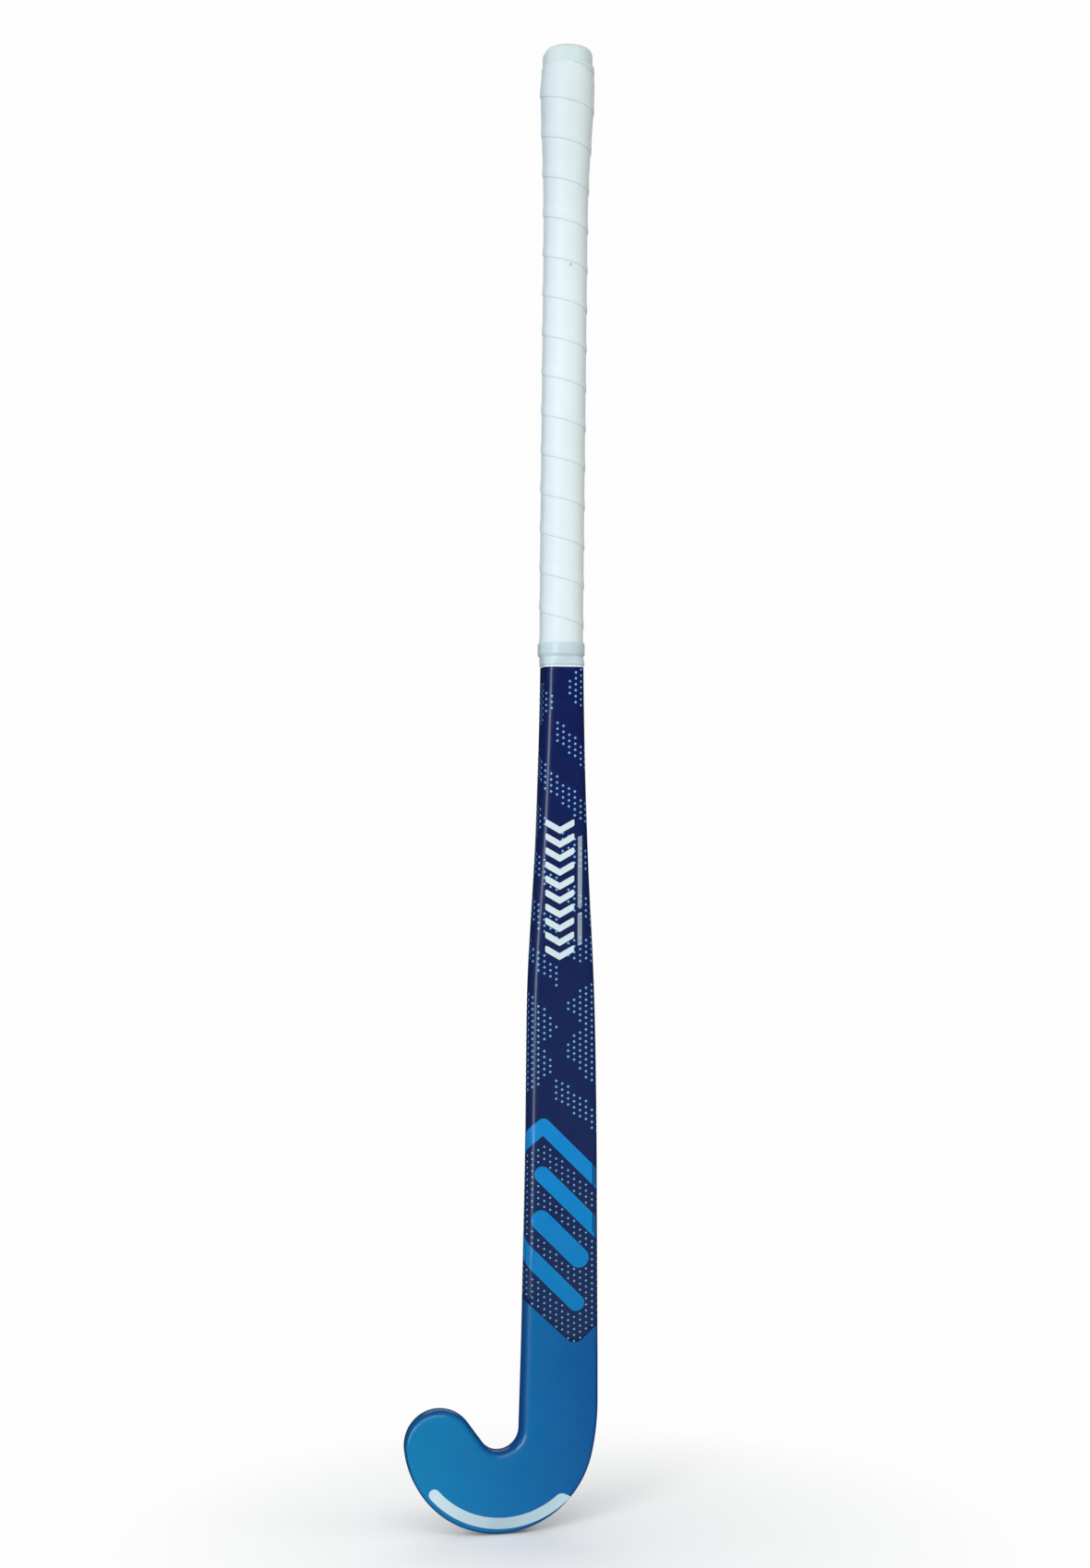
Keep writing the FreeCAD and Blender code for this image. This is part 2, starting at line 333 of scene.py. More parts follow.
def measured_station(mesh, h):
    """Left, right, front, back and the two corner radii of the skin's outside at a height, in mm.

    A corner's radius follows from how far the outline reaches along the diagonal.
    """
    x, y = section_points(mesh, BOTTOM + h * MM)[:, :2].T / MM
    left, right, front, back = x.min(), x.max(), y.min(), y.max()
    root = math.sqrt(2)
    square = (right - left) / 2 / root
    middle = (left + right) / 2
    reach = abs(x - middle) / root
    face_reach = (reach + (back - y) / root).max() - (back - front) / root
    back_reach = (reach + (y - front) / root).max() - (back - front) / root
    radii = [(square - face_reach) / (root - 1), (square - back_reach) / (root - 1)]
    return [left, right, front, back, *radii]


def measured_stations(mesh):
    """Evenly spaced stations up the shaft, lightly smoothed between the ends."""
    count = round((CAP_BOTTOM - HOOK_TOP) / RING_STEP)
    heights = np.linspace(HOOK_TOP, SHAFT_TOP, count + 1)
    rows = np.array([measured_station(mesh, h + STATION_NUDGE) for h in heights])
    for _ in range(SMOOTHING_PASSES):
        rows[1:-1] = rows[:-2] / 4 + rows[1:-1] / 2 + rows[2:] / 4
    rows[0] = [-SHAFT_TOE_SIDE, SHAFT_HEEL_SIDE, FACE, FACE + HOOK_DEPTH, OUTER_EDGE, BACK_RADIUS]
    return heights, rows


HEIGHTS, ROWS = measured_stations(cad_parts["outer_laminate"].data)


def station(h):
    """Left, right, front, back, toe-side and heel-side face radii, back radius at any height."""
    measured = [float(np.interp(h, HEIGHTS, column)) for column in ROWS.T]
    left, right, front, back, face_radius, back_radius = measured
    rounding = smoothstep((h - BAND_BOTTOM) / (BAND_TOP - BAND_BOTTOM))
    face_radius = min(face_radius, SHAFT_EDGE + (ROUND_EDGE - SHAFT_EDGE) * rounding)
    return left, right, front, back, max(face_radius, INNER_EDGE), face_radius, back_radius


def side_lengths(width, depth, face_radius, back_radius):
    """Lengths of one half of the outline: face flat, face corner, side, back corner, back flat."""
    quarter = math.pi / 2
    side = depth - face_radius - back_radius
    return [width - face_radius, face_radius * quarter, side, back_radius * quarter, width - back_radius]


def half_outline(h, side):
    """Half width on one side of s = 0, depth, radii and front of the section at a height."""
    left, right, front, back, toe_radius, heel_radius, back_radius = station(h)
    width = right if side > 0 else -left
    return width, back - front, heel_radius if side > 0 else toe_radius, back_radius, front


def half_girth(h, side):
    """Length of the outline from the middle of the face to the middle of the back."""
    width, depth, face_radius, back_radius, _ = half_outline(h, side)
    return sum(side_lengths(width, depth, face_radius, back_radius))


def place(h, s, lift=0.0):
    """Point on the shaft's surface at height h and girth s, lifted along the normal."""
    side = 1 if s >= 0 else -1
    width, depth, face_radius, back_radius, front = half_outline(h, side)
    lengths = side_lengths(width, depth, face_radius, back_radius)
    rest = min(abs(s), sum(lengths) - 1e-6)
    k = 0
    while rest > lengths[k] and k < 4:
        rest -= lengths[k]
        k += 1
    back = front + depth
    if k == 0:
        x, y, nx, ny = rest, front, 0.0, -1.0
    elif k == 1:
        turn = rest / face_radius
        nx, ny = math.sin(turn), -math.cos(turn)
        x, y = width - face_radius + face_radius * nx, front + face_radius + face_radius * ny
    elif k == 2:
        x, y, nx, ny = width, front + face_radius + rest, 1.0, 0.0
    elif k == 3:
        turn = rest / back_radius
        nx, ny = math.cos(turn), math.sin(turn)
        x, y = width - back_radius + back_radius * nx, back - back_radius + back_radius * ny
    else:
        x, y, nx, ny = width - back_radius - rest, back, 0.0, 1.0
    x, y = x + nx * lift, y + ny * lift
    return Vector((side * x * MM, y * MM, BOTTOM + h * MM))


def around(h, share, lift=0.0):
    """Point at a share of the whole girth, counted from the face's middle towards the heel."""
    heel, toe = half_girth(h, 1), half_girth(h, -1)
    share %= 1.0
    if share < 0.5:
        return place(h, share * 2 * heel, lift)
    return place(h, -(1 - share) * 2 * toe, lift)


def new_piece(name, bm, material, replaced=(), smooth_deg=35.0):
    """Finishes a bmesh as a piece of the stick with its material, body and slot."""
    bmesh.ops.recalc_face_normals(bm, faces=bm.faces)
    mesh = bpy.data.meshes.new(name)
    bm.to_mesh(mesh)
    bm.free()
    mesh.shade_smooth()
    mesh.set_sharp_from_angle(angle=math.radians(smooth_deg))
    piece = bpy.data.objects.new(name, mesh)
    bpy.context.scene.collection.objects.link(piece)
    mesh.materials.append(material)
    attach(piece, BODY)
    if replaced:
        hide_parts(*replaced)
    return piece


# ---------------------------------------------------------------- skin


def profile(face_radius, back_radius, depth):
    """Inset and distance behind the face of each point from the face's flat to the back's flat."""
    points = [(face_radius + FLAT_MARGIN, 0.0)]
    for k in range(FACE_STEPS + 1):
        turn = math.pi / 2 * k / FACE_STEPS
        points.append((face_radius * (1 - math.sin(turn)), face_radius * (1 - math.cos(turn))))
    for k in range(BACK_STEPS + 1):
        turn = math.pi / 2 * k / BACK_STEPS
        inset = back_radius * (1 - math.cos(turn))
        points.append((inset, depth - back_radius + back_radius * math.sin(turn)))
    points.append((back_radius + FLAT_MARGIN, depth))
    return points


def side_ring(h, side):
    """One side of the shaft's ring, from the face's flat to the back's flat, in metres."""
    left, right, front, back, toe_radius, heel_radius, back_radius = station(h)
    face_radius = heel_radius if side > 0 else toe_radius
    edge = right if side > 0 else left
    points = profile(face_radius, back_radius, back - front)
    return [
        Vector(((edge - side * inset) * MM, (front + behind) * MM, BOTTOM + h * MM))
        for inset, behind in points
    ]


def between(start, end, steps):
    """Points strictly between two points."""
    return [start.lerp(end, k / steps) for k in range(1, steps)]


def shaft_ring(h):
    """The whole ring: toe side face to back, back flat, heel side back to face, face flat."""
    toe = side_ring(h, -1)
    heel = side_ring(h, 1)[::-1]
    back_flat = between(toe[-1], heel[0], FLAT_STEPS)
    face_flat = between(heel[-1], toe[0], FLAT_STEPS)
    return toe + back_flat + heel + face_flat


def shrunk(ring, inset):
    """A ring moved in by an inset towards its own middle line."""
    middle = sum(ring, Vector()) / len(ring)
    half_x = max(abs(p.x - middle.x) for p in ring)
    half_y = max(abs(p.y - middle.y) for p in ring)
    scale_x = 1 - inset * MM / half_x
    scale_y = 1 - inset * MM / half_y
    return [
        Vector((middle.x + (p.x - middle.x) * scale_x, middle.y + (p.y - middle.y) * scale_y, p.z))
        for p in ring
    ]


def raised(ring, rise):
    """The same ring higher up."""
    return [p + Vector((0, 0, rise * MM)) for p in ring]


def edge_change(first, last, rate=1.0, delay=0.0):
    """The edge's radius along a stretch of the outline, as a function of the share covered."""
    return lambda share: mixed(first, last, rate * share - delay)


def straight(point, heading, length, steps, edge):
    """Outline samples along a straight: point, outward heading and edge radius."""
    way = heading_vector(heading)
    return [(point + way * length * k / steps, heading - 90, edge(k / steps)) for k in range(1, steps + 1)]


def bend(point, heading, radius, turn, steps, edge):
    """Outline samples along an arc. A positive turn is to the left."""
    side = math.copysign(90, turn)
    centre = point + heading_vector(heading + side) * radius
    samples = []
    for k in range(1, steps + 1):
        now = heading + turn * k / steps
        samples.append((centre + heading_vector(now - side) * radius, now - 90, edge(k / steps)))
    return samples


def hook_outline():
    """Samples of the hook's outline from its toe-side top to its heel-side top."""
    heading = SHAFT_HEADING
    start = Vector((-SHAFT_TOE_SIDE, HOOK_TOP))
    samples = [(start, -180.0, INNER_EDGE)]
    inner = edge_change(INNER_EDGE, INNER_EDGE)
    outer = edge_change(OUTER_EDGE, OUTER_EDGE)
    round_toe = edge_change(INNER_EDGE, TOE_EDGE, TOE_EDGE_RATE, TOE_EDGE_DELAY)
    along_sole = edge_change(TOE_EDGE, OUTER_EDGE, SOLE_EDGE_RATE)
    drop = (HOOK_TOP - THROAT_HEIGHT) / math.sin(math.radians(-heading))
    samples += straight(start, heading, drop, DROP_SAMPLES, inner)
    samples += bend(samples[-1][0], heading, THROAT_RADIUS, THROAT_TURN, THROAT_SAMPLES, inner)
    heading += THROAT_TURN
    samples += straight(samples[-1][0], heading, TOE_SLOPE, SLOPE_SAMPLES, inner)
    samples += bend(samples[-1][0], heading, TOE_RADIUS, TOE_TURN, TOE_SAMPLES, round_toe)
    heading += TOE_TURN
    samples += bend(samples[-1][0], heading, SOLE_RADIUS, SOLE_TURN, SOLE_SAMPLES, along_sole)
    heading += SOLE_TURN
    heel_turn = FULL_UP - (heading + 360) % 360
    samples += bend(samples[-1][0], heading, HEEL_RADIUS, heel_turn, HEEL_SAMPLES, outer)
    last = samples[-1][0]
    rise = HOOK_TOP - last.y
    samples += straight(Vector((SHAFT_HEEL_SIDE, last.y)), FULL_UP, rise, RISE_SAMPLES, outer)
    return samples


def hook_rows():
    """The hook's surface as one row of points, from face to back, for each outline sample."""
    rows = []
    for point, outward, edge in hook_outline():
        way = heading_vector(outward)
        row = []
        for inset, behind in profile(edge, BACK_RADIUS, HOOK_DEPTH):
            flat = point - way * inset
            row.append(Vector((flat.x * MM, (FACE + behind) * MM, BOTTOM + flat.y * MM)))
        rows.append(row)
    return rows


def add_quads(bm, rows, closed):
    """Quads between neighbouring rows of vertices."""
    for low, high in zip(rows, rows[1:]):
        count = len(low)
        for k in range(count if closed else count - 1):
            j = (k + 1) % count
            bm.faces.new((low[k], low[j], high[j], high[k]))


def add_grid(bm, rows, closed=False):
    """Quads between neighbouring rows of points."""
    made = [[bm.verts.new(p) for p in row] for row in rows]
    add_quads(bm, made, closed)
    return made


def add_sleeve(bm, levels, columns):
    """Closed sleeve round the handle from a loop of (height, lift) points."""
    rows = [[around(h, k / columns, lift) for k in range(columns)] for h, lift in levels]
    made = [[bm.verts.new(p) for p in row] for row in rows]
    add_quads(bm, made + made[:1], True)


def skin_surface():
    """Outside of the skin as one open surface, without the handle's end."""
    bm = bmesh.new()
    rings = [shaft_ring(h) for h in HEIGHTS]
    add_grid(bm, rings, closed=True)
    rows = hook_rows()
    add_grid(bm, rows)
    top = rings[0]
    toe_count = len(rows[0])
    back_flat = top[toe_count - 1 : toe_count + FLAT_STEPS]
    face_flat = top[-FLAT_STEPS:] + top[:1]
    bm.faces.new([bm.verts.new(p) for p in [row[0] for row in rows] + face_flat[1:-1]])
    back = [row[-1] for row in rows[::-1]] + back_flat[1:-1]
    bm.faces.new([bm.verts.new(p) for p in back])
    bmesh.ops.remove_doubles(bm, verts=bm.verts, dist=WELD)
    return bm


def skin(material):
    """Hollow moulded skin with the reduced neck at the handle's end."""
    bm = skin_surface()
    neck = shrunk(shaft_ring(HEIGHTS[-1]), NECK_INSET)
    rings = [shaft_ring(HEIGHTS[-1]), neck, raised(neck, HANDLE_END - HEIGHTS[-1])]
    add_grid(bm, rings, closed=True)
    bmesh.ops.remove_doubles(bm, verts=bm.verts, dist=WELD)
    piece = new_piece("lacquered_skin", bm, material, ["outer_laminate"], 50.0)
    wall = piece.modifiers.new("wall", "SOLIDIFY")
    wall.thickness = SKIN_WALL * MM
    wall.offset = -1
    return piece


# ---------------------------------------------------------------- print


def print_sleeve(material):
    """Dark print that covers the shaft down to a blunt tip on the face."""
    bm = bmesh.new()
    heights = [h for h in HEIGHTS if h < BAND_BOTTOM + RING_STEP]
    add_grid(bm, [shaft_ring(h) for h in heights], closed=True)
    centre = Vector((TIP_S, 0, TIP_H + TIP_RADIUS))
    for k in range(-TIP_CUTS, TIP_CUTS + 1):
        lean = math.radians(TIP_LEAN_DEG * k / TIP_CUTS)
        normal = Vector((-math.sin(lean), 0, math.cos(lean)))
        point = centre - normal * TIP_RADIUS
        point = Vector((point.x * MM, 0, BOTTOM + point.z * MM))
        every = bm.verts[:] + bm.edges[:] + bm.faces[:]
        bmesh.ops.bisect_plane(
            bm, geom=every, plane_co=point, plane_no=normal, clear_inner=True, dist=CUT_WELD
        )
    bm.normal_update()
    piece = new_piece("navy_print", bm, material, smooth_deg=60.0)
    film = piece.modifiers.new("film", "SOLIDIFY")
    film.thickness = FILM * MM
    film.offset = 1
    return piece


def cut_at(bm, axis, cuts):
    """Cuts a flat mesh at each value along one axis."""
    normal = Vector((1, 0, 0)) if axis == 0 else Vector((0, 1, 0))
    for cut in cuts:
        every = bm.verts[:] + bm.edges[:] + bm.faces[:]
        bmesh.ops.bisect_plane(bm, geom=every, plane_co=normal * cut, plane_no=normal, dist=1e-5)


def cut_outline(outline):
    """Flat face over an outline of (s, h) points, cut along its girth and at the skin's rings."""
    flat = bmesh.new()
    verts = [flat.verts.new((s, h, 0)) for s, h in outline]
    flat.faces.new(verts)
    girths = [v.co.x for v in verts]
    levels = [v.co.y for v in verts]
    first = math.ceil(min(girths) / PLATE_SPACING)
    last = math.floor(max(girths) / PLATE_SPACING)
    rings = [h for h in HEIGHTS if min(levels) < h < max(levels)]
    cut_at(flat, 0, [k * PLATE_SPACING for k in range(first, last + 1)])
    cut_at(flat, 1, rings)
    return flat


def add_plate(bm, outline, lift):
    """Thin closed plate over a convex outline of (s, h) points, following the surface."""
    flat = cut_outline(outline)
    tops, bottoms = {}, {}
    for vert in flat.verts:
        s, h = vert.co.x, vert.co.y
        tops[vert] = bm.verts.new(place(h, s, lift))
        bottoms[vert] = bm.verts.new(place(h, s, lift - PLATE_DEPTH))
    for face in flat.faces:
        bm.faces.new([tops[v] for v in face.verts])
        bm.faces.new([bottoms[v] for v in face.verts][::-1])
    for edge in flat.edges:
        if edge.is_boundary:
            a, b = edge.verts
            bm.faces.new((tops[a], tops[b], bottoms[b], bottoms[a]))
    flat.free()


def rounded_bar(start, end, half, round_start, round_end):
    """Outline of a bar between two (s, h) points with round or square ends."""
    start = Vector(start)
    end = Vector(end)
    way = (end - start).normalized()
    outline = []
    for centre, outward, is_round in ((end, way, round_end), (start, -way, round_start)):
        turn_from = math.atan2(outward.y, outward.x)
        steps = BAR_END_STEPS if is_round else 1
        for k in range(steps + 1):
            angle = turn_from + math.radians(-90 + 180 * k / steps)
            outline.append(centre + Vector((math.cos(angle), math.sin(angle))) * half)
    return [(p.x, p.y) for p in outline]


def crown_outlines():
    """The top band of the emblem as two legs that meet in a round shoulder."""
    s, h = CROWN_APEX
    half = CROWN_DROP / 2 * math.cos(math.radians(CROWN_LEAN_DEG))
    level = h - CROWN_DROP / 2 + CROWN_SHIFT
    heel_end = (s + CROWN_HEEL_REACH, level - CROWN_HEEL_REACH * BAR_SLOPE)
    toe_end = (s - CROWN_TOE_REACH, level - CROWN_TOE_REACH * CROWN_TOE_SLOPE)
    return [rounded_bar((s, level), end, half, True, False) for end in (heel_end, toe_end)]


def emblem(material):
    """Bright round-ended bars that fall across the face towards the heel."""
    bm = bmesh.new()
    for k, outline in enumerate(crown_outlines()):
        add_plate(bm, outline, LOW_LIFT + 0.01 * k)
    for start, length, half, round_start, round_end in BARS:
        end = Vector(start) + BAR_FALL * length
        add_plate(bm, rounded_bar(start, end, half, round_start, round_end), LOW_LIFT)
    return new_piece("emblem_bars", bm, material)


def in_bar(s, h, start, length, half):
    """Whether a point lies within a half width of a bar's middle line."""
    rel = Vector((s, h)) - Vector(start)
    along = min(max(rel.dot(BAR_FALL), 0.0), length)
    return (rel - BAR_FALL * along).length < half


def dotted_field(s, h):
    """Whether the emblem's ground is dotted here."""
    beyond = s - CROWN_APEX[0]
    roof = CROWN_APEX[1] - CROWN_DROP - FIELD_GAP
    if beyond > 0:
        roof -= beyond * BAR_SLOPE
    else:
        roof += beyond * CROWN_TOE_SLOPE
    floor = max(FIELD_FLOOR, FIELD_TIP + FIELD_SLOPE * abs(s - TIP_S))
    if not floor < h < roof:
        return False
    return not any(in_bar(s, h, start, length, half + BAR_GAP) for start, length, half, *_ in BARS)


def dotted_shaft(s, h):
    """Whether the shaft's print is dotted here, on the face and round both sides."""
    lowest = DOTS_FROM + DOTS_RISE * max(0.0, DOTS_REACH - abs(s - DOTS_PEAK_S))
    if h < lowest or h > BAND_BOTTOM - DOTS_END_GAP:
        return False
    for tip_s, tip_h, way, half in LOBES:
        reach = (s - tip_s) * way
        if reach >= 0 and abs(h - tip_h) <= min(reach * LOBE_SLOPE + LOBE_TIP, half):
            return True
    for first, last, level, half in STRIPES:
        if first <= s <= last and abs(h - level + s * STRIPE_SLOPE) <= half:
            return True
    return False


def add_diamond(bm, s, h, half, lift):
    """One diamond of the halftone as a small closed plate that follows the surface."""
    corners = [(s - half, h), (s, h - half), (s + half, h), (s, h + half)]
    top = [bm.verts.new(place(level, girth, lift)) for girth, level in corners]
    bottom = [bm.verts.new(place(level, girth, lift - DIAMOND_DEPTH)) for girth, level in corners]
    peak = bm.verts.new(place(h, s, lift))
    for k in range(4):
        j = (k + 1) % 4
        bm.faces.new((top[k], top[j], peak))
        bm.faces.new((top[j], top[k], bottom[k], bottom[j]))
    bm.faces.new(bottom[::-1])


def lattice():
    """All nodes of the staggered lattice round the shaft."""
    for column in LATTICE_COLUMNS:
        s = LATTICE_S + column * LATTICE_GIRTH
        shift = 0.5 if column % 2 == 0 else 0.0
        for row in LATTICE_ROWS:
            h = LATTICE_H + (row + shift) * LATTICE_HEIGHT
            if h > HOOK_TOP and abs(s) < half_girth(h, 1 if s > 0 else -1) - SHAFT_DIAMOND:
                yield s, h


def mirrored_back(s, h):
    """The girth on the face that the back repeats."""
    girth = half_girth(h, 1 if s > 0 else -1)
    return math.copysign(girth - abs(s), s)


def halftone(material):
    """Light diamonds over the print, on the face, the sides and the back."""
    bm = bmesh.new()
    for s, h in lattice():
        width = station(h)[1]
        on_back = abs(s) > width + HOOK_DEPTH / 2
        where = mirrored_back(s, h) if on_back else s
        if dotted_shaft(where, h):
            add_diamond(bm, s, h, SHAFT_DIAMOND, LOW_LIFT)
        elif dotted_field(where, h):
            add_diamond(bm, s, h, EMBLEM_DIAMOND, LOW_LIFT)
    return new_piece("halftone_dots", bm, material)


def chevron_leg(h):
    """Outline of one leg of a chevron, from its middle outwards, with the outer corners cut."""
    shoulder = h + CHEVRON_RISE * 0.9
    end = h + CHEVRON_RISE
    return [
        (0, h),
        (CHEVRON_HALF - CHEVRON_CUT, shoulder),
        (CHEVRON_HALF, end + CHEVRON_CUT * 0.4),
        (CHEVRON_HALF, end + CHEVRON_THICK - CHEVRON_CUT),
        (CHEVRON_HALF - CHEVRON_CUT, shoulder + CHEVRON_THICK),
        (0, h + CHEVRON_THICK),
    ]


def pale_chevrons(material):
    """Column of pale chevrons in the middle of the face, each of two legs that meet in a point."""
    bm = bmesh.new()
    pitch = (CHEVRON_HIGH - CHEVRON_LOW) / (CHEVRON_COUNT - 1)
    for k in range(CHEVRON_COUNT):
        leg = chevron_leg(CHEVRON_LOW + pitch * k)
        for way in (-1, 1):
            add_plate(bm, [(CHEVRON_S + way * s, h) for s, h in leg], HIGH_LIFT)
    return new_piece("pale_chevrons", bm, material)


def fine_hatching(material):
    """Two runs of fine diagonal ticks beside the chevrons."""
    bm = bmesh.new()
    for low, high in TICK_RUNS:
        count = round((high - low) / TICK_PITCH)
        for k in range(count):
            h = low + (high - low) * k / count
            add_plate(bm, [(s, h + rise) for s, rise in TICK], HIGH_LIFT)
    return new_piece("fine_hatching", bm, material)


def label_outline():
    """Outline of the label: round at the toe end, drawn out to the rim at the heel end."""
    lowest = min((p for p, _, _ in hook_outline()), key=lambda p: p.y)
    centre = Vector((lowest.x + LABEL_SHIFT, lowest.y + LABEL_OUTER + LABEL_GAP))
    inner = LABEL_OUTER - LABEL_WIDTH
    half = LABEL_WIDTH / 2
    span = LABEL_LAST - LABEL_FIRST
    ways = [heading_vector(LABEL_FIRST + span * k / LABEL_STEPS) for k in range(LABEL_STEPS + 1)]
    outline = [centre + way * LABEL_OUTER for way in ways]
    for degrees, radius in LABEL_HEEL_END:
        outline.append(centre + heading_vector(LABEL_LAST + degrees) * (inner + radius))
    outline += [centre + way * inner for way in ways[::-1]]
    end = centre + ways[0] * (inner + half)
    for k in range(1, LABEL_END_STEPS):
        outline.append(end + heading_vector(LABEL_FIRST - 180 + 180 * k / LABEL_END_STEPS) * half)
    return outline


def label(material):
    """Curved pale strip near the sole."""
    bm = bmesh.new()
    y = (FACE - PRINT_LIFT) * MM
    face = bm.faces.new([bm.verts.new((p.x * MM, y, BOTTOM + p.y * MM)) for p in label_outline()])
    made = bmesh.ops.extrude_face_region(bm, geom=[face])
    moved = [v for v in made["geom"] if isinstance(v, bmesh.types.BMVert)]
    bmesh.ops.translate(bm, vec=Vector((0, LABEL_DEPTH * MM, 0)), verts=moved)
    return new_piece("sole_label", bm, material, ["edge_label"])


def collar_line(material):
    """Thin pale line round the shaft just below the band."""
    bm = bmesh.new()
    add_sleeve(bm, [(BAND_BOTTOM + h, lift) for h, lift in COLLAR_LOOP], COLLAR_COLUMNS)
    return new_piece("collar_line", bm, material)


# ---------------------------------------------------------------- grip


def tape_lift(h, lift):
    """The tape draws in a little where it ends over the cap."""
    share = (h - CAP_BOTTOM + TAPE_DRAW_FROM) / (TAPE_TOP - CAP_BOTTOM + TAPE_DRAW_FROM)
    return lift - TAPE_DRAW_IN * smoothstep(share)


def trim(bm, h, way):
    """Cuts the winding level at a height and closes the cut."""
    level = Vector((0, 0, BOTTOM + h * MM))
    every = bm.verts[:] + bm.edges[:] + bm.faces[:]
    bmesh.ops.bisect_plane(
        bm, geom=every, plane_co=level, plane_no=Vector((0, 0, way)), clear_outer=True, dist=CUT_WELD
    )
    rim = [e for e in bm.edges if e.is_boundary and all(abs(v.co.z - level.z) < 1e-6 for v in e.verts)]
    bmesh.ops.holes_fill(bm, edges=rim, sides=0)


def tape_row(bm, column):
    """The strip's cross-section at one step of the winding."""
    share = column / TAPE_COLUMNS
    low = TAPE_TOP + PITCH * (1.0 - share)
    row = []
    for over, lift in TAPE_LOOP:
        h = low + over
        level = min(max(h, TAPE_BOTTOM - TAPE_SPARE), TAPE_TOP + TAPE_SPARE)
        point = around(level, share, tape_lift(h, lift))
        point.z = BOTTOM + h * MM
        row.append(bm.verts.new(point))
    return row


def wound_tape(material):
    """The grip as one long strip wound round the handle, each turn lapping over the one below."""
    bm = bmesh.new()
    turns = math.ceil((TAPE_TOP - TAPE_BOTTOM) / PITCH) + TAPE_SPARE_TURNS
    rows = [tape_row(bm, column) for column in range(turns * TAPE_COLUMNS + 1)]
    bm.faces.new(rows[0][::-1])
    add_quads(bm, rows, True)
    bm.faces.new(rows[-1])
    trim(bm, TAPE_TOP, 1)
    trim(bm, TAPE_BOTTOM, -1)
    bmesh.ops.triangulate(bm, faces=[f for f in bm.faces if len(f.verts) > 4])
    piece = new_piece("wound_grip", bm, material, ["grip_tape"], 40.0)
    return piece


def band(material):
    """Stepped finishing band, half on the tape and half on the shaft."""
    low = BAND_BOTTOM
    step = TAPE_BOTTOM - STEP_GAP
    top = BAND_TOP
    levels = [(low, 0.06), (low, 0.42), (low + 0.15, 0.55), (low + 0.5, 0.6)]
    levels += [(step - 1.2, 0.6), (step - 0.5, 0.66), (step + 0.1, 0.95), (step + 0.6, 1.45)]
    levels += [(step + 1.2, 1.72), (step + 2.2, 1.8), (top - 1.2, 1.8), (top - 0.4, 1.76)]
    levels += [(top, 1.6), (top, 1.24), (step + 1.0, 1.24), (step, 0.9), (step - 0.8, 0.06)]
    bm = bmesh.new()
    add_sleeve(bm, levels, BAND_COLUMNS)
    return new_piece("stepped_band", bm, material, ["finishing_band"], 60.0)


def drawn_in(base, h, inset):
    """A ring like the base, at a height, with its edge moved in towards its middle."""
    middle = sum(base, Vector()) / len(base)
    half = (max(p.x for p in base) - min(p.x for p in base)) / 2
    scale = 1 - inset * MM / half
    ring = [middle + (p - middle) * scale for p in base]
    for p in ring:
        p.z = BOTTOM + h * MM
    return ring


def cap_outside(half):
    """Height and inset of each ring from the skirt's hem to the mark in the middle of the dome."""
    edge_top = CAP_TOP - CAP_DOME
    skirt = [(h, 0.0) for h in (CAP_BOTTOM, CAP_BOTTOM + 6, TAPE_TOP, edge_top - CAP_EDGE)]
    edge = []
    for k in range(1, CAP_EDGE_STEPS + 1):
        turn = math.pi / 2 * k / CAP_EDGE_STEPS
        edge.append((edge_top - CAP_EDGE * (1 - math.sin(turn)), CAP_EDGE * (1 - math.cos(turn))))
    dome = [(CAP_TOP - 0.28, 7.5), (CAP_TOP - 0.08, 10.0), (CAP_TOP, half - 2.6)]
    mark = [(CAP_TOP - 0.1, half - 2.2), (CAP_TOP - 0.6, half - 2.0), (CAP_TOP - 0.6, half - 1.0)]
    return skirt + edge + dome + mark


def cap(material):
    """Domed end cap: skirt, rounded edge, low dome and the shallow gate mark in its middle."""
    bm = bmesh.new()
    base = [around(SHAFT_TOP, k / CAP_COLUMNS, CAP_SKIRT) for k in range(CAP_COLUMNS)]
    half = (max(p.x for p in base) - min(p.x for p in base)) / 2 / MM
    ceiling = HANDLE_END + CEILING_GAP
    inside = [(ceiling, half - 1.0), (ceiling, CAP_WALL), (CAP_BOTTOM, CAP_WALL)]
    outer = add_grid(bm, [drawn_in(base, h, inset) for h, inset in cap_outside(half)], closed=True)
    inner = add_grid(bm, [drawn_in(base, h, inset) for h, inset in inside], closed=True)
    bm.faces.new(outer[-1])
    bm.faces.new(inner[0])
    add_quads(bm, [outer[0], inner[-1]], True)
    return new_piece("domed_cap", bm, material, ["butt_cap"], 50.0)


# ---------------------------------------------------------------- materials


def linear(value):
    """Light for a display value between 0 and 1."""
    return value / 12.92 if value <= 0.04045 else ((value + 0.055) / 1.055) ** 2.4


def srgb(red, green, blue):
    """Linear colour from 0-255 display values."""
    return (linear(red / 255), linear(green / 255), linear(blue / 255), 1.0)


